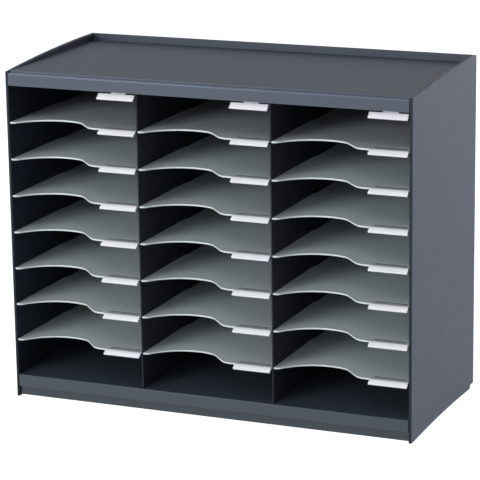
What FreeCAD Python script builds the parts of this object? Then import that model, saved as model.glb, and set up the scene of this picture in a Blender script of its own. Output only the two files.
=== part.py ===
import FreeCAD, Part
import Sketcher
import math
import os

# A free-standing A4 literature sorter: three columns of eight compartments.
# Two side panels, two dividers, a top, a base and a back make the fixed housing, and 21 shelves
# slide in moulded runners. Each shelf carries a label holder on its front edge.
# Millimetres. X to the right, Y to the back, Z up. The origin is at the bottom centre of the
# whole object's box, so the front plane lies half a label's reach behind the box's front face.

COLUMNS = ("left", "middle", "right")
SHELVES = 7

# Driving sizes. Each is one cell of the sheet, under its own alias.
SIZES = {
    # Housing
    "column_clear": 219.7,      # free width of a column, for A4 paper 210 wide between the runners
    "side_wall": 5.0,
    "divider_wall": 2.4,
    "unit_depth": 308.0,        # front plane to back face
    "floor_top": 37.0,          # height of the lowest compartments' floor
    "level_pitch": 59.3,        # shelf to shelf
    "top_opening": 58.4,        # highest shelf to the foot of the fascia
    "fascia_height": 22.5,
    "fascia_wall": 3.0,
    "plate_wall": 3.0,          # deck and floor
    "back_wall": 3.0,
    "fit_gap": 0.2,             # between fixed pieces that slot together
    # Lip of the side and back panels: above the nose at the front, above the deck at the back
    "lip_front": 2.4,
    "lip_rear": 12.0,
    "lip_arc": 3800.0,          # radius of the side panels' top edge
    # Feet of the side panels
    "front_foot": 14.0,
    "rear_foot": 14.0,
    "foot_arch": 3.0,
    "notch_depth": 16.5,
    "notch_height": 5.5,
    "panel_round": 2.0,
    "lip_round": 1.0,
    # Top panel: a round nose above the fascia, from which the deck steps up
    "nose_round": 2.0,
    "step_back": 9.0,
    "step_rise": 2.8,
    "step_round": 1.0,
    "flange_depth": 10.0,
    "flange_wall": 2.0,
    "rear_drop": 12.0,
    "guide_wall": 1.6,
    "guide_drop": 5.0,
    "guide_length": 240.0,
    "guide_front": 30.0,
    # Base panel
    "band_height": 20.0,
    "band_round": 1.8,
    "kick_setback": 5.0,
    "kick_wall": 2.5,
    "kick_clear": 2.0,          # kick band's foot above the table
    "stiffener_wall": 2.0,
    "stiffener_drop": 4.0,
    # Tabs that hold a divider in the base floor
    "tab_length": 26.0,
    "tab_drop": 2.6,
    "tab_front": 40.0,
    "tab_pitch": 190.0,
    "divider_front": 1.0,
    "divider_flat": 0.3,        # what its front rounds leave flat
    # Seats inside the side panels
    "seat_reach": 3.6,
    "seat_wall": 2.5,
    "seat_end_gap": 6.0,
    # Runners
    "runner_reach": 4.0,
    "runner_wall": 2.0,
    "runner_front": 3.0,
    "runner_lead": 8.0,         # sloped front ends, which guide a shelf in
    "lead_drop": 1.0,
    "keeper_wall": 1.6,
    "keeper_front": 170.0,
    "running_gap": 0.3,
    "back_rib": 3.0,
    # Shelves
    "shelf_wall": 2.5,
    "shelf_setback": 1.5,
    "shelf_back_gap": 1.0,
    "recess_start": 9.0,
    "recess_depth": 39.5,
    "recess_arc": 80.0,
    "ramp_start": 109.0,
    "ramp_end": 138.0,
    "tab_corner": 8.0,
    "ramp_top_round": 30.0,
    "ramp_foot_round": 25.0,
    "slot_width": 3.0,
    "slot_back": 11.5,
    "slot_side": 6.0,           # slot's right end to the column's right wall
    "slot_length": 52.0,
    # Label holders and cards
    "label_width": 61.5,
    "label_side_gap": 0.6,
    "label_lean": 41.0,         # degrees from upright
    "label_rise": 0.8,          # face's top edge above the shelf
    "label_face": 10.6,
    "label_wall": 1.2,
    "label_lip": 1.0,
    "label_rim": 3.0,
    "label_slack": 0.1,
    "card_wall": 0.5,
    "clip_wall": 1.2,
    "clip_length": 50.0,
    "clip_gap": 0.2,
    "hook_wall": 1.2,
    "hook_back": 12.4,
    "hook_rise": 2.2,
    "top_label_drop": 2.4,      # label face below the fascia's foot
    "top_clip_length": 25.0,
    "top_clip_side": 19.6,      # label's left end to the clip
    "top_clip_back": 3.6,
    "top_clip_hook": 1.0,
    "top_slot_gap": 0.3,
}


class Length:
    """A length that holds its value and the sheet expression that gives it."""

    def __init__(self, value, text):
        self.value = float(value)
        self.text = text

    @staticmethod
    def of(thing):
        return thing if isinstance(thing, Length) else Length(thing, repr(float(thing)))

    def join(self, sign, other, value):
        return Length(value, f"({self.text} {sign} {other.text})")

    def __add__(self, other):
        other = Length.of(other)
        return self.join("+", other, self.value + other.value)

    def __radd__(self, other):
        return Length.of(other) + self

    def __sub__(self, other):
        other = Length.of(other)
        return self.join("-", other, self.value - other.value)

    def __rsub__(self, other):
        return Length.of(other) - self

    def __mul__(self, other):
        other = Length.of(other)
        return self.join("*", other, self.value * other.value)

    def __rmul__(self, other):
        return Length.of(other) * self

    def __truediv__(self, other):
        other = Length.of(other)
        return self.join("/", other, self.value / other.value)

    def __neg__(self):
        return Length.of(0) - self


def root(length):
    return Length(math.sqrt(length.value), f"sqrt({length.text})")


def sine(degrees):
    return Length(math.sin(math.radians(degrees.value)), f"sin({degrees.text} * 1 deg)")


def cosine(degrees):
    return Length(math.cos(math.radians(degrees.value)), f"cos({degrees.text} * 1 deg)")


doc = FreeCAD.newDocument("sorter")
sheet = doc.addObject("Spreadsheet::Sheet", "sizes")
for row, (alias, number) in enumerate(SIZES.items(), start=1):
    sheet.set(f"A{row}", str(number))
    sheet.setAlias(f"A{row}", alias)
doc.recompute()


class Sheet:
    """Reads a cell by its alias, as a Length."""

    def __getattr__(self, alias):
        return Length(sheet.get(alias), f"sizes.{alias}")


S = Sheet()

# Levels and planes that several pieces share.
# Heights are above the table, and depths are behind the front plane.
inner_half = (S.column_clear * 3 + S.divider_wall * 2) / 2
fascia_foot = S.floor_top + S.level_pitch * SHELVES + S.top_opening
deck_top = fascia_foot + S.fascia_height
deck_under = deck_top - S.plate_wall
nose_top = deck_top - S.step_rise
step_rear = S.step_back + S.plate_wall
floor_under = S.floor_top - S.plate_wall
back_front = S.unit_depth - S.back_wall
rib_front = back_front - S.fit_gap - S.back_rib
shelf_length = rib_front - S.shelf_back_gap - S.shelf_setback
plate_back = back_front - S.fit_gap

# The label's face leans: these are the ways along it and out of it, in depth and height.
lean_sine = sine(S.label_lean)
lean_cosine = cosine(S.label_lean)
label_reach = (
    (S.label_face * lean_sine) + ((S.card_wall + S.label_slack * 2 + S.label_wall) * lean_cosine)
)
front_plane = label_reach / 2 - S.unit_depth / 2


def column_left(index):
    """Left end of a column's free width."""
    return (S.column_clear + S.divider_wall) * index - inner_half


def shelf_level(number):
    """Height of a shelf's top face, number 1 being the highest."""
    return S.floor_top + S.level_pitch * (SHELVES + 1 - number)


def bind(thing, path, length):
    """Sets a property from the sheet, or plainly where nothing on the sheet gives it."""
    length = Length.of(length)
    if "sizes." in length.text:
        thing.setExpression(path, length.text)
    else:
        setattr(thing, path, length.value)


def place(thing, x, y, z):
    """Places a piece, each coordinate following the sheet."""
    lengths = [Length.of(value) for value in (x, y, z)]
    thing.Placement.Base = FreeCAD.Vector(*[length.value for length in lengths])
    for axis, length in zip("xyz", lengths):
        if "sizes." in length.text:
            thing.setExpression(f"Placement.Base.{axis}", length.text)


def new_body(label):
    body = doc.addObject("PartDesign::Body", label)
    body.Label = label
    return body


def new_sketch(body, name, role, offset=None):
    """A sketch on one of the body's origin planes, or on a plane parallel to it."""
    sketch = body.newObject("Sketcher::SketchObject", name)
    plane = [part for part in body.Origin.OriginFeatures if part.Role == role][0]
    sketch.AttachmentSupport = [(plane, "")]
    sketch.MapMode = "FlatFace"
    if offset is not None:
        sketch.AttachmentOffset.Base = FreeCAD.Vector(0, 0, offset.value)
        sketch.setExpression("AttachmentOffset.Base.z", offset.text)
    return sketch


def pin_point(sketch, geometry, end, point):
    """Ties one end of a line or arc to two distances from the sketch's origin."""
    for kind, axis, length in (("DistanceX", -2, point[0]), ("DistanceY", -1, point[1])):
        length = Length.of(length)
        if length.text == "0.0":
            sketch.addConstraint(Sketcher.Constraint("PointOnObject", geometry, end, axis))
            continue
        number = sketch.addConstraint(
            Sketcher.Constraint(kind, -1, 1, geometry, end, length.value)
        )
        if "sizes." in length.text:
            sketch.setExpression(f"Constraints[{number}]", length.text)


def arc_through(start, end, radius):
    """The lesser arc between two points: it bulges to the right of the way for a radius above 0."""
    chord = end - start
    side = FreeCAD.Vector(chord.y, -chord.x, 0).normalize()
    if radius < 0:
        side = side * -1
    rise = abs(radius) - math.sqrt(radius * radius - chord.Length * chord.Length / 4)
    return Part.Arc(start, (start + end) / 2 + side * rise, end)


def outline(sketch, points):
    """A closed outline. A point is (x, y), or (x, y, radius) where an arc leads to the next."""
    corners = [
        FreeCAD.Vector(Length.of(point[0]).value, Length.of(point[1]).value, 0)
        for point in points
    ]
    joins = []
    for number, point in enumerate(points):
        start = corners[number]
        end = corners[(number + 1) % len(points)]
        if len(point) == 3:
            edge = sketch.addGeometry(arc_through(start, end, point[2].value), False)
        else:
            edge = sketch.addGeometry(Part.LineSegment(start, end), False)
        forward = (sketch.getPoint(edge, 1) - start).Length < (sketch.getPoint(edge, 2) - start).Length
        joins.append((edge, 1 if forward else 2, 2 if forward else 1))
    for number, (edge, first, last) in enumerate(joins):
        after = joins[(number + 1) % len(joins)]
        sketch.addConstraint(Sketcher.Constraint("Coincident", edge, last, after[0], after[1]))
    for number, (edge, first, last) in enumerate(joins):
        pin_point(sketch, edge, first, points[number])
        if len(points[number]) == 3:
            radius = points[number][2]
            size = radius if radius.value > 0 else -radius
            constraint = sketch.addConstraint(Sketcher.Constraint("Radius", edge, size.value))
            sketch.setExpression(f"Constraints[{constraint}]", size.text)
    return sketch


def rectangle(x_low, y_low, x_high, y_high):
    return [(x_low, y_low), (x_high, y_low), (x_high, y_high), (x_low, y_high)]


def pad(body, name, sketch, length, reversed_way=False):
    feature = body.newObject("PartDesign::Pad", name)
    feature.Profile = sketch
    bind(feature, "Length", length)
    feature.Reversed = reversed_way
    return feature


def pocket(body, name, sketch, depth, reversed_way=False):
    """A pocket that has to take something away, or the script stops."""
    doc.recompute()
    before = body.Shape.Volume
    feature = body.newObject("PartDesign::Pocket", name)
    feature.Profile = sketch
    bind(feature, "Length", depth)
    feature.Reversed = reversed_way
    doc.recompute()
    if not body.Shape.Volume < before - 1e-3:
        raise RuntimeError(f"{name} in {body.Label} cuts nothing")
    return feature


def fillet(body, name, radius, test):
    """Rounds the edges of the body whose ends and middle all pass the test."""
    doc.recompute()
    picked = []
    for number, edge in enumerate(body.Shape.Edges, start=1):
        middle = edge.valueAt((edge.FirstParameter + edge.LastParameter) / 2)
        points = [vertex.Point for vertex in edge.Vertexes] + [middle]
        if all(test(point) for point in points):
            picked.append(f"Edge{number}")
    if not picked:
        raise RuntimeError(f"{name} in {body.Label} finds no edge")
    carrier = body.Tip
    feature = body.newObject("PartDesign::Fillet", name)
    feature.Base = (carrier, picked)
    bind(feature, "Radius", radius)
    doc.recompute()
    return feature


def near(number, length):
    return abs(number - Length.of(length).value) < 1e-4


def repeat_up(body, originals):
    """Repeats features at every shelf level, from the lowest up."""
    pattern = body.newObject("PartDesign::LinearPattern", "levels")
    pattern.Originals = originals
    axis = [part for part in body.Origin.OriginFeatures if part.Role == "Z_Axis"][0]
    pattern.Direction = (axis, [""])
    pattern.Occurrences = SHELVES
    bind(pattern, "Length", S.level_pitch * (SHELVES - 1))
    body.Tip = pattern
    return pattern


def runner_outlines(sketch):
    """The ledge that carries the lowest shelf's edge, and the keeper strip above it."""
    level = shelf_level(SHELVES)
    ledge_top = level - S.shelf_wall - S.running_gap
    ledge_foot = ledge_top - S.runner_wall
    keeper_foot = level + S.running_gap
    keeper_top = keeper_foot + S.keeper_wall
    outline(sketch, [
        (S.runner_front, ledge_foot),
        (rib_front, ledge_foot),
        (rib_front, ledge_top),
        (S.runner_front + S.runner_lead, ledge_top),
        (S.runner_front, ledge_top - S.lead_drop),
    ])
    outline(sketch, [
        (S.keeper_front + S.runner_lead, keeper_foot),
        (rib_front, keeper_foot),
        (rib_front, keeper_top),
        (S.keeper_front, keeper_top),
        (S.keeper_front, keeper_foot + S.lead_drop),
    ])


def side_panel(label, side):
    """A side panel: its inner face lies in the body's YZ plane. side is -1 on the left."""
    body = new_body(label)
    leftward = side < 0
    foot_end = S.unit_depth - S.notch_depth
    arch_length = foot_end - S.rear_foot - S.front_foot
    arch_radius = (arch_length * arch_length / 4 + S.foot_arch * S.foot_arch) / (S.foot_arch * 2)
    profile = new_sketch(body, "profile", "YZ_Plane")
    outline(profile, [
        (0, 0),
        (S.front_foot, 0, -arch_radius),
        (foot_end - S.rear_foot, 0),
        (foot_end, 0),
        (foot_end, S.notch_height),
        (S.unit_depth, S.notch_height),
        (S.unit_depth, deck_top + S.lip_rear, S.lip_arc),
        (0, nose_top + S.lip_front),
    ])
    pad(body, "wall", profile, S.side_wall, leftward)
    outer = S.side_wall * side
    fillet(body, "lip_round", S.lip_round, lambda point: near(point.x, outer) and point.z > nose_top.value)
    for name, face in (("outer_front_round", outer), ("inner_front_round", 0)):
        fillet(body, name, S.panel_round, lambda point: near(point.x, face) and near(point.y, 0))

    seats = new_sketch(body, "seats", "YZ_Plane")
    deck_seat_front = step_rear + S.fit_gap
    seat_end = plate_back - S.seat_end_gap
    outline(seats, rectangle(deck_seat_front, deck_under - S.seat_wall, seat_end, deck_under))
    base_front = S.kick_setback + S.kick_wall + S.fit_gap
    outline(seats, rectangle(base_front, floor_under - S.seat_wall, seat_end, floor_under))
    rib_foot = S.floor_top + S.fit_gap
    rib_head = deck_under - S.rear_drop - S.fit_gap
    outline(seats, rectangle(rib_front, rib_foot, rib_front + S.back_rib, rib_head))
    pad(body, "seat_ledges", seats, S.seat_reach, not leftward)

    runners = new_sketch(body, "runner_section", "YZ_Plane")
    runner_outlines(runners)
    runner = pad(body, "runner", runners, S.runner_reach, not leftward)
    repeat_up(body, [runner])
    place(body, inner_half * side, front_plane, 0)
    return body


def divider(label, index):
    """The wall between two columns, with runners on both faces and tabs in the floor."""
    body = new_body(label)
    rear = back_front - S.fit_gap
    notch_front = step_rear + S.fit_gap
    notch_rear = plate_back - S.flange_wall - S.fit_gap
    head = fascia_foot - S.fit_gap
    rear_head = deck_under - S.rear_drop - S.fit_gap
    tab_foot = S.floor_top - S.tab_drop
    points = [(S.divider_front, S.floor_top)]
    for shift in (Length.of(0), S.tab_pitch):
        start = S.tab_front + shift
        points += [
            (start, S.floor_top),
            (start, tab_foot),
            (start + S.tab_length, tab_foot),
            (start + S.tab_length, S.floor_top),
        ]
    points += [
        (rear, S.floor_top),
        (rear, rear_head),
        (notch_rear, rear_head),
        (notch_rear, deck_under),
        (notch_front, deck_under),
        (notch_front, head),
        (S.divider_front, head),
    ]
    profile = new_sketch(body, "profile", "YZ_Plane", -(S.divider_wall / 2))
    outline(profile, points)
    pad(body, "wall", profile, S.divider_wall)
    half_wall = S.divider_wall / 2
    front_round = half_wall - S.divider_flat / 2
    fillet(body, "front_round", front_round,
           lambda point: near(abs(point.x), half_wall) and near(point.y, S.divider_front))

    right_side = new_sketch(body, "right_runner_section", "YZ_Plane", S.divider_wall / 2)
    runner_outlines(right_side)
    right_runner = pad(body, "right_runner", right_side, S.runner_reach)
    left_side = new_sketch(body, "left_runner_section", "YZ_Plane", -(S.divider_wall / 2))
    runner_outlines(left_side)
    left_runner = pad(body, "left_runner", left_side, S.runner_reach, True)
    repeat_up(body, [right_runner, left_runner])
    place(body, column_left(index) - S.divider_wall / 2, front_plane, 0)
    return body


def plate_width():
    return (inner_half - S.fit_gap) * 2


def top_panel():
    """The deck, the step down to the nose, the fascia and the flanges behind it."""
    body = new_body("top_panel")
    end = -(plate_width() / 2)
    nose_under = nose_top - S.plate_wall
    flange_front = plate_back - S.flange_wall
    profile = new_sketch(body, "profile", "YZ_Plane", end)
    outline(profile, [
        (0, fascia_foot),
        (S.flange_depth, fascia_foot),
        (S.flange_depth, fascia_foot + S.flange_wall),
        (S.fascia_wall, fascia_foot + S.flange_wall),
        (S.fascia_wall, nose_under),
        (step_rear, nose_under),
        (step_rear, deck_under),
        (flange_front, deck_under),
        (flange_front, deck_under - S.rear_drop),
        (plate_back, deck_under - S.rear_drop),
        (plate_back, deck_top),
        (S.step_back, deck_top),
        (S.step_back, nose_top),
        (0, nose_top),
    ])
    pad(body, "section", profile, plate_width())
    fillet(body, "nose", S.nose_round, lambda point: near(point.y, 0) and near(point.z, nose_top))
    fillet(body, "step", S.step_round, lambda point: near(point.y, S.step_back) and near(point.z, deck_top))

    guides = new_sketch(body, "guides", "XY_Plane", deck_under - S.guide_drop)
    guide_rear = S.guide_front + S.guide_length
    for index in (1, 2):
        middle = column_left(index) - S.divider_wall / 2
        near_face = S.divider_wall / 2 + S.fit_gap
        far_face = near_face + S.guide_wall
        outline(guides, rectangle(middle + near_face, S.guide_front, middle + far_face, guide_rear))
        outline(guides, rectangle(middle - far_face, S.guide_front, middle - near_face, guide_rear))
    pad(body, "divider_guides", guides, S.guide_drop)

    slots = new_sketch(body, "clip_slots", "XY_Plane", fascia_foot + S.flange_wall)
    slot_rear = S.top_clip_back + S.clip_wall + S.top_slot_gap
    for index in range(len(COLUMNS)):
        left = column_left(index) + label_left() + S.top_clip_side - S.top_slot_gap
        right = left + S.top_clip_length + S.top_slot_gap * 2
        outline(slots, rectangle(left, S.top_clip_back - S.top_slot_gap, right, slot_rear))
    pocket(body, "label_clip_slots", slots, S.flange_wall)
    place(body, 0, front_plane, 0)
    return body


def base_panel():
    """The lowest floor, its front band, the kick band set back below it and the stiffeners."""
    body = new_body("base_panel")
    end = -(plate_width() / 2)
    band_foot = S.floor_top - S.band_height
    kick_back = S.kick_setback + S.kick_wall
    flange_front = plate_back - S.flange_wall
    profile = new_sketch(body, "profile", "YZ_Plane", end)
    outline(profile, [
        (S.kick_setback, S.kick_clear),
        (kick_back, S.kick_clear),
        (kick_back, band_foot + S.kick_wall),
        (S.fascia_wall, band_foot + S.kick_wall),
        (S.fascia_wall, floor_under),
        (flange_front, floor_under),
        (flange_front, S.kick_clear),
        (plate_back, S.kick_clear),
        (plate_back, S.floor_top),
        (0, S.floor_top),
        (0, band_foot),
        (S.kick_setback, band_foot),
    ])
    pad(body, "section", profile, plate_width())
    fillet(body, "front_round", S.band_round, lambda point: near(point.y, 0) and near(point.z, S.floor_top))

    stiffeners = new_sketch(body, "stiffener_plan", "XY_Plane", floor_under - S.stiffener_drop)
    for index in (1, 2):
        middle = column_left(index) - S.divider_wall / 2
        half = S.stiffener_wall / 2
        outline(stiffeners, rectangle(middle - half, S.fascia_wall, middle + half, flange_front))
    pad(body, "stiffeners", stiffeners, S.stiffener_drop)

    slots = new_sketch(body, "tab_slots", "XY_Plane", S.floor_top)
    for index in (1, 2):
        middle = column_left(index) - S.divider_wall / 2
        half = S.divider_wall / 2 + S.fit_gap
        for shift in (Length.of(0), S.tab_pitch):
            start = S.tab_front + shift - S.fit_gap
            finish = start + S.tab_length + S.fit_gap * 2
            outline(slots, rectangle(middle - half, start, middle + half, finish))
    pocket(body, "divider_tab_slots", slots, S.plate_wall)
    place(body, 0, front_plane, 0)
    return body


def back_panel():
    """The back wall, whose head is the rear lip."""
    body = new_body("back_panel")
    half = inner_half - S.fit_gap
    face = new_sketch(body, "face", "XZ_Plane", -back_front)
    outline(face, rectangle(-half, S.kick_clear, half, deck_top + S.lip_rear))
    pad(body, "wall", face, S.back_wall, True)
    place(body, 0, front_plane, 0)
    return body


def shelf(label, column, number):
    """A flat shelf with the finger recess in its front edge and the slot behind its label."""
    body = new_body(label)
    left = S.running_gap
    right = S.column_clear - S.running_gap
    front = S.shelf_setback
    rear = front + shelf_length
    centre_depth = S.recess_depth - S.recess_arc
    centre_across = S.recess_start + root(S.recess_arc * S.recess_arc - centre_depth * centre_depth)
    ramp_run = S.ramp_start - centre_across
    ramp_depth = centre_depth + root(S.recess_arc * S.recess_arc - ramp_run * ramp_run)
    plan = new_sketch(body, "plan", "XY_Plane", -S.shelf_wall)
    outline(plan, [
        (left, front),
        (S.recess_start, front, -S.recess_arc),
        (S.ramp_start, front + ramp_depth),
        (S.ramp_end, front),
        (right, front),
        (right, rear),
        (left, rear),
    ])
    pad(body, "sheet", plan, S.shelf_wall)
    corners = (
        ("tab_round", S.tab_corner, S.recess_start, front),
        ("ramp_top", S.ramp_top_round, S.ramp_start, front + ramp_depth),
        ("ramp_foot", S.ramp_foot_round, S.ramp_end, front),
    )
    for name, radius, across, depth in corners:
        fillet(body, name, radius, lambda point: near(point.x, across) and near(point.y, depth))

    slot = new_sketch(body, "slot", "XY_Plane")
    slot_right = S.column_clear - S.slot_side
    slot_rear = S.slot_back + S.slot_width
    outline(slot, rectangle(slot_right - S.slot_length, S.slot_back, slot_right, slot_rear))
    pocket(body, "label_slot", slot, S.shelf_wall)
    place(body, column_left(column), front_plane, shelf_level(number))
    return body


def label_left():
    """Left end of a label, from its column's left end."""
    return S.column_clear - S.label_side_gap - S.label_width


def on_face(along, out):
    """A point of the leaning section: along the face from its top edge, and out of it."""
    depth = out * lean_cosine + along * lean_sine
    height = S.label_rise - along * lean_cosine + out * lean_sine
    return (-depth, height)


def face_depth(height):
    """Depth of the middle of the holder's leaning back plate at a height."""
    back = on_face(Length.of(0), -(S.label_wall / 2))
    return back[0] - (back[1] - height) * lean_sine / lean_cosine


def holder_face(body):
    """The leaning back plate with its top bead and its rim, which hold the card."""
    pocket_depth = S.card_wall + S.label_slack * 2
    rim_out = pocket_depth + S.label_wall
    none = Length.of(0)
    foot = S.label_face
    section = new_sketch(body, "section", "YZ_Plane", label_left())
    outline(section, [
        on_face(none, -S.label_wall),
        on_face(foot, -S.label_wall),
        on_face(foot, rim_out),
        on_face(foot - S.label_rim, rim_out),
        on_face(foot - S.label_rim, pocket_depth),
        on_face(foot - S.label_wall, pocket_depth),
        on_face(foot - S.label_wall, none),
        on_face(S.label_lip, none),
        on_face(S.label_lip, pocket_depth),
        on_face(none, pocket_depth),
    ])
    pad(body, "face", section, S.label_width)


def shelf_label_holder(label):
    """Grips the shelf's front edge: a leg lies under the shelf and hooks up into its slot."""
    body = new_body(label)
    holder_face(body)
    leg_top = -(S.shelf_wall + S.clip_gap)
    leg_foot = leg_top - S.clip_wall
    front = face_depth((leg_top + leg_foot) / 2)
    hook_rear = S.hook_back + S.hook_wall
    clip_left = S.column_clear - S.slot_side - (S.slot_length + S.clip_length) / 2
    leg = new_sketch(body, "leg", "YZ_Plane", clip_left)
    outline(leg, [
        (front, leg_foot),
        (hook_rear, leg_foot),
        (hook_rear, leg_top + S.hook_rise),
        (S.hook_back, leg_top + S.hook_rise),
        (S.hook_back, leg_top),
        (front, leg_top),
    ])
    pad(body, "clip", leg, S.clip_length)
    return body


def top_label_holder(label):
    """Hangs from the fascia's flange by a short clip that passes up through its slot."""
    body = new_body(label)
    holder_face(body)
    web_top = -S.clip_gap
    web_foot = web_top - S.clip_wall
    front = face_depth((web_top + web_foot) / 2)
    clip_rear = S.top_clip_back + S.clip_wall
    clip_head = S.label_rise + S.top_label_drop + S.flange_wall + S.top_clip_hook
    clip = new_sketch(body, "clip_section", "YZ_Plane", label_left() + S.top_clip_side)
    outline(clip, [
        (front, web_foot),
        (clip_rear, web_foot),
        (clip_rear, clip_head),
        (S.top_clip_back, clip_head),
        (S.top_clip_back, web_top),
        (front, web_top),
    ])
    pad(body, "clip", clip, S.top_clip_length)
    return body


def label_card(label):
    """The blank card that stands in a holder."""
    body = new_body(label)
    head = S.label_lip + S.label_slack
    foot = S.label_face - S.label_wall - S.label_slack
    back = S.label_slack
    face = back + S.card_wall
    section = new_sketch(body, "section", "YZ_Plane", label_left())
    outline(section, [on_face(head, back), on_face(foot, back), on_face(foot, face), on_face(head, face)])
    pad(body, "card", section, S.label_width)
    return body


def group(label, members):
    """Several solids that share one node."""
    compound = doc.addObject("Part::Compound", label)
    compound.Label = label
    compound.Links = members
    return compound


def build():
    """All the nodes, in the order of assembly."""
    nodes = [
        side_panel("left_side_panel", -1),
        side_panel("right_side_panel", 1),
        divider("left_divider", 1),
        divider("right_divider", 2),
        top_panel(),
        base_panel(),
        back_panel(),
    ]
    holders = []
    cards = []
    top_label_level = fascia_foot - S.top_label_drop - S.label_rise
    for index, column in enumerate(COLUMNS):
        holder = top_label_holder(f"{column}_top_holder")
        card = label_card(f"{column}_top_card")
        for piece in (holder, card):
            place(piece, column_left(index), front_plane, top_label_level)
        holders.append(holder)
        cards.append(card)
    nodes.append(group("top_label_holders", holders))
    nodes.append(group("top_label_cards", cards))
    for index, column in enumerate(COLUMNS):
        for number in range(1, SHELVES + 1):
            name = f"{column}_{number}"
            nodes.append(shelf(f"shelf_{name}", index, number))
            holder = shelf_label_holder(f"clip_{name}")
            card = label_card(f"card_{name}")
            labelled = group(f"label_holder_{name}", [holder, card])
            place(labelled, column_left(index), front_plane, shelf_level(number))
            nodes.append(labelled)
    return nodes


nodes = build()
doc.recompute()

faults = [
    thing.Label for thing in doc.Objects if "Invalid" in thing.State or "Error" in thing.State
]
faults += [node.Label for node in nodes if node.Shape.isNull() or not node.Shape.isValid()]
if faults:
    raise RuntimeError(f"failed: {faults}")

os.makedirs("parts", exist_ok=True)
for node in nodes:
    node.Shape.exportStep(f"parts/{node.Label}.step")
whole = Part.makeCompound([node.Shape for node in nodes]).BoundBox
print(f"{len(nodes)} nodes, box {whole.XMin:.2f} {whole.XMax:.2f}, {whole.YMin:.2f} {whole.YMax:.2f},"
      f" {whole.ZMin:.2f} {whole.ZMax:.2f}")
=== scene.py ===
import bmesh
import bpy
import math
from mathutils import Matrix, Vector


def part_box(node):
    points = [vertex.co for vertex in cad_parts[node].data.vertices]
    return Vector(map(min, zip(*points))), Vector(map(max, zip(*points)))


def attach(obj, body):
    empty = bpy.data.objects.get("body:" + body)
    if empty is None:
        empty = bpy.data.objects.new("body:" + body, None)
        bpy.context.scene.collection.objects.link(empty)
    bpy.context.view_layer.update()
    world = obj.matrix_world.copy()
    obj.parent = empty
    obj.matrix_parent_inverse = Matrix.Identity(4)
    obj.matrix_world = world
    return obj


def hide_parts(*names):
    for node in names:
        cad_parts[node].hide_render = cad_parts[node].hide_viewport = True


# The dressed model of a free-standing literature sorter. Metres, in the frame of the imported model.

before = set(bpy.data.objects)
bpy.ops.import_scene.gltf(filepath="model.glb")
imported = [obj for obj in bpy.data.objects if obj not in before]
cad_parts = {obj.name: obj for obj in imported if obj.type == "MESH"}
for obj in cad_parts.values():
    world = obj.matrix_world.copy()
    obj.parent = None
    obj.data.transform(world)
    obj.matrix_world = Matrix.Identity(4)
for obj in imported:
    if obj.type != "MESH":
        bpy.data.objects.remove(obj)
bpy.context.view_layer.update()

MM = 0.001
COLUMNS = ("left", "middle", "right")
SHELVES = 7

SIDE_NODES = ("left_side_panel", "right_side_panel")
DIVIDER_NODES = ("left_divider", "right_divider")

# Edge rounds of the moulded pieces
HOUSING_EDGE = 0.5 * MM
SHELF_EDGE = 0.7 * MM
HOLDER_EDGE = 0.25 * MM
CARD_EDGE = 0.08 * MM
EDGE_SEGMENTS = 2
SHARP_ANGLE = math.radians(35)
WELD = 0.005 * MM

# Plain linear colours
SIDE_COLOUR = (0.047, 0.062, 0.097)
DIVIDER_COLOUR = (0.019, 0.022, 0.029)
BASE_COLOUR = (0.033, 0.045, 0.060)
DECK_COLOUR = (0.056, 0.071, 0.098)
SHELF_COLOUR = (0.55, 0.61, 0.64)
HOLDER_COLOUR = (0.80, 0.82, 0.89)
CARD_COLOUR = (0.82, 0.84, 0.89)
WHITE = (1.0, 1.0, 1.0)

# Finish of each plastic: roughness, length and depth of its grain, specular level
SIDE_FINISH = (0.46, 0.7 * MM, 0.03 * MM, 0.12)
BACK_FINISH = (0.46, 0.7 * MM, 0.03 * MM, 0.2)
BASE_FINISH = (0.46, 0.7 * MM, 0.03 * MM, 0.3)
SHELF_FINISH = (0.45, 0.9 * MM, 0.02 * MM, 0.3)
HOLDER_FINISH = (0.22, 2.5 * MM, 0.01 * MM, 0.5)

# Unevenness that all the plastics share
CLOUD_LENGTH = 90 * MM
CLOUD_RANGE = (0.98, 1.02)
GLOSS_LENGTH = 14 * MM
GLOSS_RANGE = 0.02

# The cards' paper
FIBRE_LENGTH = 0.6 * MM
FIBRE_RANGE = (0.97, 1.02)
FIBRE_DEPTH = 0.02 * MM
CARD_ROUGHNESS = 0.75

# Least upward share of the normal on faces that look up, and on level ones
LOOKS_UP = 0.6
LEVEL = 0.95

# Painted shade: shares of the colour where the housing faces in, and on the recessed kick band, while outer
# faces and faces that look up keep the full colour. A side's outer face counts as outer down to a depth of
# OUTER_SKIN.
OUTER_SKIN = 0.5 * MM
INNER_PAINTED_SHADE = 0.33
KICK_TOP = 17.0 * MM
KICK_PAINTED_SHADE = 0.70

# The labels' painted shade towards their tops: the part of the height where it starts, and the share of the
# colour left at the top
HOLDER_TOP_SHADE = (0.45, 0.22)
TOP_HOLDER_TOP_SHADE = (0.40, 0.22)
CARD_TOP_SHADE = (0.35, 0.62)

# The deck's field of strokes, with a band of painted shade along its front that stands for a shaded groove
FIELD_START = 10.5 * MM
FIELD_SKIN = 0.1 * MM
# Painted shade: the share of the colour that the deck's field keeps
FIELD_PAINTED_SHADE = 0.58
GROOVE_BAND_WIDTH = 6.0 * MM
GROOVE_PAINTED_SHADE = 0.6
STROKE_PITCH = 8.6 * MM
STROKE_LEAN = 56.0 * MM
STROKE_ROWS = 60.0 * MM
STROKE_GAIN = 0.35

# The deck's front edge: painted highlights on the nose and on the ridge behind it, and a smoother nose
NOSE_DEPTH = 2.2 * MM
EDGE_HEIGHT = 5.2 * MM
NOSE_HIGHLIGHT = 0.95
RIDGE_HIGHLIGHT = 0.42
NOSE_POLISH = 0.12

# The deck's finish
EDGE_ROUGHNESS = 0.40
FIELD_ROUGHNESS = 0.56
DECK_SPECULAR = 0.16
DECK_GRAIN = 0.8 * MM
DECK_GRAIN_SHARE = 0.12
DECK_RELIEF = 0.12 * MM

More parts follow.
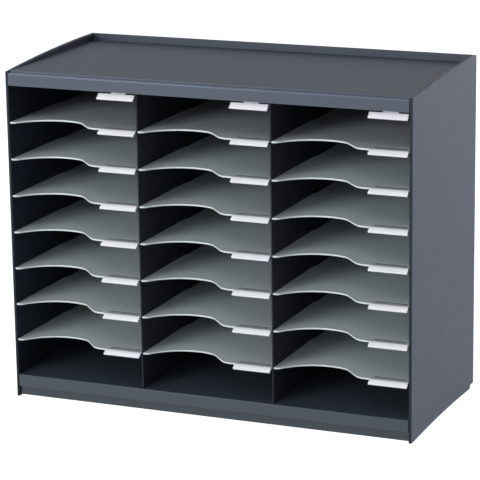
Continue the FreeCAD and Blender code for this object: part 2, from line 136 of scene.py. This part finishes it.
# The label slots of the shelves: the left column's left wall, the pitch of the columns, and where each
# slot lies along the front, from its column's wall, and in depth
COLUMN_LEFT = -331.95 * MM
COLUMN_PITCH = 222.1 * MM
SLOT_ALONG = (161.7 * MM, 213.7 * MM)
SLOT_DEPTH = (-138.31 * MM, -135.31 * MM)
SLOT_EDGE = 0.8 * MM
# Painted shade on the label slot's walls, and on the strip of shelf top between slot and label
SLOT_PAINTED_SHADE = 0.12
STRIP_PAINTED_SHADE = 0.70

# Stage
FLOOR_HALF = 6.0
FLOOR_COLOUR = (0.90, 0.90, 0.90)
FLOOR_GLOW = 0.90
WORLD_COLOUR = (0.96, 0.98, 1.0)
WORLD_STRENGTH = 0.02

# name: (degrees to the right of the front, degrees up, distance, width, watts)
LAMPS = {
    "key": (-24, 9, 5.0, 2.3, 198.0),
    "front": (20, 17, 5.0, 2.4, 33.0),
    "above": (0, 52, 4.5, 2.3, 31.0),
    "right": (105, 12, 4.5, 2.3, 90.0),
    "left": (-95, 38, 2.8, 1.6, 20.0),
    "back": (165, 12, 3.0, 1.6, 15.0),
}

# Camera, fitted to the photograph's outline of the object: degrees, metres and pixels
CAMERA_AZIMUTH = 23.13
CAMERA_ELEVATION = 14.38
CAMERA_ROLL = -0.816
CAMERA_DISTANCE = 3.8637
CAMERA_TARGET = (0.0, 0.0, 0.2715)
CAMERA_ASIDE = (-0.0037, -0.0176)
CAMERA_REACH = 50.0
FOCAL_PIXELS = 2423.1
FRAME_PIXELS = 480
SENSOR = 36.0


# Node helpers

def blank_tree(owner, output_type):
    """Empties the node tree of a material or a world, and gives it an output node."""
    owner.use_nodes = True
    tree = owner.node_tree
    tree.nodes.clear()
    return tree, tree.nodes.new(output_type)


def new_material(name):
    material = bpy.data.materials.new(name)
    tree, output = blank_tree(material, "ShaderNodeOutputMaterial")
    shader = tree.nodes.new("ShaderNodeBsdfPrincipled")
    tree.links.new(shader.outputs["BSDF"], output.inputs["Surface"])
    return material, tree, shader


def math_node(tree, operation, first, second=None):
    node = tree.nodes.new("ShaderNodeMath")
    node.operation = operation
    for socket, value in zip(node.inputs, (first, second)):
        if value is None:
            continue
        if isinstance(value, (int, float)):
            socket.default_value = value
        else:
            tree.links.new(value, socket)
    return node.outputs[0]


def plus(tree, first, second):
    return math_node(tree, "ADD", first, second)


def minus(tree, first, second):
    return math_node(tree, "SUBTRACT", first, second)


def times(tree, first, second):
    return math_node(tree, "MULTIPLY", first, second)


def over(tree, value, limit):
    """One where the value is greater than the limit."""
    return math_node(tree, "GREATER_THAN", value, limit)


def under(tree, value, limit):
    """One where the value is less than the limit."""
    return math_node(tree, "LESS_THAN", value, limit)


def between(tree, value, low, high):
    """One where the value lies between two limits."""
    return times(tree, over(tree, value, low), under(tree, value, high))


def dimmed(tree, mask, share):
    """One outside the mask, and the given share inside it."""
    return minus(tree, 1.0, times(tree, mask, 1.0 - share))


def turned(tree, value, length):
    """The value as an angle that makes one full turn in each length."""
    return times(tree, value, 2 * math.pi / length)


def noise(tree, coordinates, grain, detail, roughness=0.5):
    """Noise whose features are about one grain long."""
    node = tree.nodes.new("ShaderNodeTexNoise")
    node.inputs["Scale"].default_value = 1.0 / grain
    node.inputs["Detail"].default_value = detail
    node.inputs["Roughness"].default_value = roughness
    tree.links.new(coordinates, node.inputs["Vector"])
    return node.outputs["Fac"]


def spread(tree, value, low, high, from_low=0.3, from_high=0.7):
    """The value, stretched from one range to another. Noise lies mostly between 0.3 and 0.7."""
    node = tree.nodes.new("ShaderNodeMapRange")
    node.inputs["From Min"].default_value = from_low
    node.inputs["From Max"].default_value = from_high
    node.inputs["To Min"].default_value = low
    node.inputs["To Max"].default_value = high
    tree.links.new(value, node.inputs["Value"])
    return node.outputs["Result"]


def tinted(tree, colour, amount):
    """The colour times a varying amount."""
    node = tree.nodes.new("ShaderNodeMix")
    node.data_type = "RGBA"
    node.blend_type = "MULTIPLY"
    node.inputs["Factor"].default_value = 1.0
    node.inputs["A"].default_value = (*colour, 1.0)
    tree.links.new(amount, node.inputs["B"])
    return node.outputs["Result"]


def bump(tree, height, distance):
    node = tree.nodes.new("ShaderNodeBump")
    node.inputs["Distance"].default_value = distance
    tree.links.new(height, node.inputs["Height"])
    return node.outputs["Normal"]


def object_coordinates(tree):
    return tree.nodes.new("ShaderNodeTexCoord").outputs["Object"]


def parts_of(tree, vector):
    """The X, Y and Z of a vector."""
    node = tree.nodes.new("ShaderNodeSeparateXYZ")
    tree.links.new(vector, node.inputs[0])
    return node.outputs["X"], node.outputs["Y"], node.outputs["Z"]


def place_parts(tree):
    """The object's own X, Y and Z at the shaded point."""
    return parts_of(tree, object_coordinates(tree))


def facing_up(tree, least):
    """One where the surface's normal rises more than the given share."""
    normal = tree.nodes.new("ShaderNodeNewGeometry").outputs["Normal"]
    return over(tree, parts_of(tree, normal)[2], least)


# Painted shades: each makes the share of its colour that a material shows at each place, darker where shade
# falls

def beyond(axis, depth, share):
    """Painted shade: full colour past a depth on an axis, out of either side, and on faces that look up;
    the given share elsewhere.
    """
    def shade(tree):
        value = math_node(tree, "ABSOLUTE", place_parts(tree)["XYZ".index(axis)])
        outside = math_node(tree, "MAXIMUM", over(tree, value, depth), facing_up(tree, LOOKS_UP))
        return dimmed(tree, minus(tree, 1.0, outside), share)
    return shade


def slot_painted_shade(tree):
    """Painted shade on the walls of each shelf's label slot, and on the strip between slot and label."""
    across, depth = place_parts(tree)[:2]
    along = math_node(tree, "MODULO", minus(tree, across, COLUMN_LEFT), COLUMN_PITCH)
    slot = between(tree, along, SLOT_ALONG[0] - SLOT_EDGE, SLOT_ALONG[1] + SLOT_EDGE)
    upward = facing_up(tree, LEVEL)
    walls = between(tree, depth, SLOT_DEPTH[0] - SLOT_EDGE, SLOT_DEPTH[1] + SLOT_EDGE)
    walls = times(tree, walls, minus(tree, 1.0, upward))
    strip = times(tree, under(tree, depth, SLOT_DEPTH[0]), upward)
    painted_walls = dimmed(tree, times(tree, slot, walls), SLOT_PAINTED_SHADE)
    painted_strip = dimmed(tree, times(tree, slot, strip), STRIP_PAINTED_SHADE)
    return times(tree, painted_walls, painted_strip)


def painted_shade_towards_top(start, share):
    """Painted shade: full up to a part of the piece's height, and falling from there to a share at its top.
    """
    def shade(tree):
        generated = tree.nodes.new("ShaderNodeTexCoord").outputs["Generated"]
        return spread(tree, parts_of(tree, generated)[2], 1.0, share, start, 1.0)
    return shade


# Materials

def moulded_plastic(name, colour, finish, shade=None):
    """Moulded plastic: a fine spark-eroded grain, faint cloudiness and uneven gloss, times a painted shade
    where one is given.
    """
    roughness, grain, depth, specular = finish
    material, tree, shader = new_material(name)
    place = object_coordinates(tree)
    cloud = noise(tree, place, CLOUD_LENGTH, detail=2.0)
    gloss = noise(tree, place, GLOSS_LENGTH, detail=3.0)
    texture = noise(tree, place, grain, detail=2.0, roughness=0.6)
    amount = spread(tree, cloud, *CLOUD_RANGE)
    if shade:
        amount = times(tree, amount, shade(tree))
    tree.links.new(tinted(tree, colour, amount), shader.inputs["Base Color"])
    uneven = spread(tree, gloss, roughness - GLOSS_RANGE, roughness + GLOSS_RANGE)
    tree.links.new(uneven, shader.inputs["Roughness"])
    tree.links.new(bump(tree, texture, depth), shader.inputs["Normal"])
    shader.inputs["Specular IOR Level"].default_value = specular
    return material


def deck_strokes(tree, across, depth):
    """Small slanted strokes in rows: up to one on a stroke, and zero between them."""
    slant = plus(tree, turned(tree, across, STROKE_PITCH), turned(tree, depth, STROKE_LEAN))
    row = math_node(tree, "SINE", turned(tree, depth, STROKE_ROWS))
    stroke = times(tree, math_node(tree, "SINE", slant), row)
    return math_node(tree, "MAXIMUM", stroke, 0.0)


def deck_plastic(name, colour):
    """The deck: a dull field of small slanted strokes behind a smooth front edge, with painted highlights
    on that edge's nose and ridge and painted shade on the field and along its front.
    """
    material, tree, shader = new_material(name)
    place = object_coordinates(tree)
    cloud = noise(tree, place, CLOUD_LENGTH, detail=2.0)
    texture = noise(tree, place, DECK_GRAIN, detail=2.0, roughness=0.6)
    across, depth, height = place_parts(tree)
    low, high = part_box("top_panel")

    behind = over(tree, depth, low.y + FIELD_START)
    field = times(tree, behind, over(tree, height, high.z - FIELD_SKIN))
    painted_groove_shade = times(tree, field, under(tree, depth, low.y + FIELD_START + GROOVE_BAND_WIDTH))
    front = under(tree, depth, low.y + NOSE_DEPTH)
    edge = over(tree, height, high.z - EDGE_HEIGHT)
    nose = times(tree, front, edge)
    ridge = times(tree, minus(tree, minus(tree, 1.0, behind), front), edge)
    stroke = times(tree, deck_strokes(tree, across, depth), field)

    # Painted highlights on the nose and on the ridge behind it
    shade = plus(tree, times(tree, nose, NOSE_HIGHLIGHT), times(tree, ridge, RIDGE_HIGHLIGHT))
    shade = plus(tree, shade, times(tree, stroke, STROKE_GAIN))
    shade = plus(tree, shade, 1.0)
    # Painted shade on the deck's field
    shade = times(tree, shade, dimmed(tree, field, FIELD_PAINTED_SHADE))
    # Painted shade in a band along the field's front, standing for a shaded groove
    shade = times(tree, shade, dimmed(tree, painted_groove_shade, GROOVE_PAINTED_SHADE))
    amount = times(tree, spread(tree, cloud, *CLOUD_RANGE), shade)
    tree.links.new(tinted(tree, colour, amount), shader.inputs["Base Color"])

    dull = spread(tree, field, EDGE_ROUGHNESS, FIELD_ROUGHNESS, 0.0, 1.0)
    dull = minus(tree, dull, times(tree, nose, NOSE_POLISH))
    tree.links.new(dull, shader.inputs["Roughness"])
    raised = plus(tree, times(tree, texture, DECK_GRAIN_SHARE), stroke)
    tree.links.new(bump(tree, raised, DECK_RELIEF), shader.inputs["Normal"])
    shader.inputs["Specular IOR Level"].default_value = DECK_SPECULAR
    return material


def card_paper(name, colour, shade):
    """Blank card: a matt sheet with short fibres, times a painted shade."""
    material, tree, shader = new_material(name)
    place = object_coordinates(tree)
    fibres = noise(tree, place, FIBRE_LENGTH, detail=4.0, roughness=0.7)
    amount = times(tree, spread(tree, fibres, *FIBRE_RANGE), shade(tree))
    tree.links.new(tinted(tree, colour, amount), shader.inputs["Base Color"])
    tree.links.new(bump(tree, fibres, FIBRE_DEPTH), shader.inputs["Normal"])
    shader.inputs["Roughness"].default_value = CARD_ROUGHNESS
    return material


def make_materials():
    side_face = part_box("right_side_panel")[1].x - OUTER_SKIN
    deck_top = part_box("top_panel")[1].z
    # Painted light and shade: the sides keep their full colour on their outer faces and tops, and a share
    # of it on their inner faces and front edges; the back panel keeps its full colour above the deck and a
    # share of it below.
    side_painted_shade = beyond("X", side_face, INNER_PAINTED_SHADE)
    back_painted_shade = beyond("Z", deck_top, INNER_PAINTED_SHADE)
    # Painted shade: the recessed kick band below KICK_TOP keeps only a share of the base's colour
    base_painted_shade = beyond("Z", KICK_TOP, KICK_PAINTED_SHADE)
    # Painted shade towards the tops of the label holders, as on the cards
    holder_shade = painted_shade_towards_top(*HOLDER_TOP_SHADE)
    top_holder_shade = painted_shade_towards_top(*TOP_HOLDER_TOP_SHADE)
    return {
        "side": moulded_plastic("side_plastic", SIDE_COLOUR, SIDE_FINISH, side_painted_shade),
        "divider": moulded_plastic("divider_plastic", DIVIDER_COLOUR, SIDE_FINISH),
        "back": moulded_plastic("back_plastic", DECK_COLOUR, BACK_FINISH, back_painted_shade),
        "base": moulded_plastic("base_plastic", BASE_COLOUR, BASE_FINISH, base_painted_shade),
        "deck": deck_plastic("deck_plastic", DECK_COLOUR),
        "shelf": moulded_plastic("shelf_plastic", SHELF_COLOUR, SHELF_FINISH, slot_painted_shade),
        "holder": moulded_plastic("holder_plastic", HOLDER_COLOUR, HOLDER_FINISH, holder_shade),
        "top_holder": moulded_plastic("top_holder_plastic", HOLDER_COLOUR, HOLDER_FINISH, top_holder_shade),
        "card": card_paper("card_paper", CARD_COLOUR, painted_shade_towards_top(*CARD_TOP_SHADE)),
    }


# Pieces

def round_edges(thing, width):
    """Welds the mesh's seams, rounds its edges and smooths the rounds."""
    weld = thing.modifiers.new("weld", "WELD")
    weld.merge_threshold = WELD
    bevel = thing.modifiers.new("edge_rounds", "BEVEL")
    bevel.width = width
    bevel.segments = EDGE_SEGMENTS
    bevel.limit_method = "ANGLE"
    bevel.angle_limit = SHARP_ANGLE
    bevel.harden_normals = True


def dress_node(name, material, edge):
    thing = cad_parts[name]
    thing.data.materials.clear()
    thing.data.materials.append(material)
    round_edges(thing, edge)


def shelf_places():
    """The places of the shelves, column by column and from the top down."""
    return [f"{column}_{number}" for column in COLUMNS for number in range(1, SHELVES + 1)]


def islands(mesh_object):
    """The separate solids of a node, each as a bmesh, the largest first."""
    whole = bmesh.new()
    whole.from_mesh(mesh_object.data)
    bmesh.ops.remove_doubles(whole, verts=whole.verts, dist=WELD)
    whole.verts.ensure_lookup_table()
    seen = set()
    groups = []
    for start in whole.verts:
        if start.index in seen:
            continue
        stack = [start]
        group = set()
        while stack:
            vertex = stack.pop()
            if vertex.index in group:
                continue
            group.add(vertex.index)
            stack += [edge.other_vert(vertex) for edge in vertex.link_edges]
        seen |= group
        groups.append(group)
    solids = []
    for group in groups:
        solid = whole.copy()
        solid.verts.ensure_lookup_table()
        extra = [vertex for vertex in solid.verts if vertex.index not in group]
        bmesh.ops.delete(solid, geom=extra, context="VERTS")
        solids.append(solid)
    whole.free()
    return sorted(solids, key=lambda solid: -solid.calc_volume())


def new_piece(name, mesh_data, material, body, edge):
    mesh = bpy.data.meshes.new(name)
    mesh_data.to_mesh(mesh)
    mesh_data.free()
    mesh.materials.append(material)
    thing = bpy.data.objects.new(name, mesh)
    bpy.context.scene.collection.objects.link(thing)
    round_edges(thing, edge)
    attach(thing, body)
    return thing


def make_labels(materials):
    """Each label node becomes a holder and a card, which have their own materials."""
    for place in shelf_places():
        node = f"label_holder_{place}"
        holder, card = islands(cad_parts[node])
        body = f"shelf_{place}"
        pieces = [
            new_piece(f"holder_{place}", holder, materials["holder"], body, HOLDER_EDGE),
            new_piece(f"card_{place}", card, materials["card"], body, CARD_EDGE),
        ]
        for piece in pieces:
            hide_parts(node)


# Stage, lights and camera

def seen_rays(tree):
    """One for the rays that see the background: from the camera, by reflection or through glass."""
    path = tree.nodes.new("ShaderNodeLightPath")
    seen = plus(tree, path.outputs["Is Camera Ray"], path.outputs["Is Glossy Ray"])
    seen = plus(tree, seen, path.outputs["Is Transmission Ray"])
    return math_node(tree, "MINIMUM", seen, 1.0)


def make_floor():
    """A wide, flat, pale floor. It shows white and keeps the object's shadow."""
    mesh = bpy.data.meshes.new("floor")
    half = FLOOR_HALF
    mesh.from_pydata(
        [(-half, -half, 0), (half, -half, 0), (half, half, 0), (-half, half, 0)], [], [(0, 1, 2, 3)]
    )
    thing = bpy.data.objects.new("floor", mesh)
    bpy.context.scene.collection.objects.link(thing)
    material = bpy.data.materials.new("floor")
    tree, output = blank_tree(material, "ShaderNodeOutputMaterial")
    diffuse = tree.nodes.new("ShaderNodeBsdfDiffuse")
    diffuse.inputs["Color"].default_value = (*FLOOR_COLOUR, 1.0)
    glow = tree.nodes.new("ShaderNodeEmission")
    glow.inputs["Color"].default_value = (*WHITE, 1.0)
    tree.links.new(times(tree, seen_rays(tree), FLOOR_GLOW), glow.inputs["Strength"])
    both = tree.nodes.new("ShaderNodeAddShader")
    tree.links.new(diffuse.outputs[0], both.inputs[0])
    tree.links.new(glow.outputs[0], both.inputs[1])
    tree.links.new(both.outputs[0], output.inputs["Surface"])
    mesh.materials.append(material)


def make_world():
    """Even light from all round, and a white background where the camera looks past the object."""
    world = bpy.data.worlds.new("studio")
    tree, output = blank_tree(world, "ShaderNodeOutputWorld")
    mix = tree.nodes.new("ShaderNodeMixShader")
    tree.links.new(seen_rays(tree), mix.inputs[0])
    for socket, colour, strength in ((1, WORLD_COLOUR, WORLD_STRENGTH), (2, WHITE, 1.0)):
        light = tree.nodes.new("ShaderNodeBackground")
        light.inputs["Color"].default_value = (*colour, 1.0)
        light.inputs["Strength"].default_value = strength
        tree.links.new(light.outputs[0], mix.inputs[socket])
    tree.links.new(mix.outputs[0], output.inputs["Surface"])
    bpy.context.scene.world = world


def make_lamps():
    """Square soft lamps in a ring round the object, each turned to its middle."""
    for name, (around, up, distance, width, watts) in LAMPS.items():
        around = math.radians(around)
        up = math.radians(up)
        way = Vector((math.sin(around) * math.cos(up), -math.cos(around) * math.cos(up), math.sin(up)))
        data = bpy.data.lights.new(name, "AREA")
        data.shape = "SQUARE"
        data.size = width
        data.energy = watts
        thing = bpy.data.objects.new(name, data)
        thing.location = Vector(CAMERA_TARGET) + way * distance
        thing.rotation_euler = (-way).to_track_quat("-Z", "Y").to_euler()
        bpy.context.scene.collection.objects.link(thing)


def make_camera():
    """The camera, placed so that the object's corners fall where the photograph shows them."""
    azimuth = math.radians(CAMERA_AZIMUTH)
    elevation = math.radians(CAMERA_ELEVATION)
    roll = math.radians(CAMERA_ROLL)
    ahead = Vector((
        -math.sin(azimuth) * math.cos(elevation),
        math.cos(azimuth) * math.cos(elevation),
        -math.sin(elevation),
    ))
    level = Vector((math.cos(azimuth), math.sin(azimuth), 0.0))
    upright = level.cross(ahead)
    right = level * math.cos(roll) + upright * math.sin(roll)
    up = upright * math.cos(roll) - level * math.sin(roll)
    data = bpy.data.cameras.new("camera")
    data.sensor_width = SENSOR
    data.lens = FOCAL_PIXELS / FRAME_PIXELS * SENSOR
    data.clip_end = CAMERA_REACH
    thing = bpy.data.objects.new("camera", data)
    aside = right * CAMERA_ASIDE[0] + up * CAMERA_ASIDE[1]
    place = Vector(CAMERA_TARGET) + aside - ahead * CAMERA_DISTANCE
    turn = Matrix((right, up, -ahead)).transposed().to_4x4()
    thing.matrix_world = Matrix.Translation(place) @ turn
    bpy.context.scene.collection.objects.link(thing)
    bpy.context.scene.camera = thing


def build():
    materials = make_materials()
    for name in SIDE_NODES:
        dress_node(name, materials["side"], HOUSING_EDGE)
    for name in DIVIDER_NODES:
        dress_node(name, materials["divider"], HOUSING_EDGE)
    dress_node("back_panel", materials["back"], HOUSING_EDGE)
    dress_node("base_panel", materials["base"], HOUSING_EDGE)
    dress_node("top_panel", materials["deck"], HOUSING_EDGE)
    dress_node("top_label_holders", materials["top_holder"], HOLDER_EDGE)
    dress_node("top_label_cards", materials["card"], CARD_EDGE)
    for place in shelf_places():
        dress_node(f"shelf_{place}", materials["shelf"], SHELF_EDGE)
    make_labels(materials)
    make_floor()
    make_world()
    make_lamps()
    make_camera()
    bpy.context.scene.view_settings.view_transform = "Standard"


build()
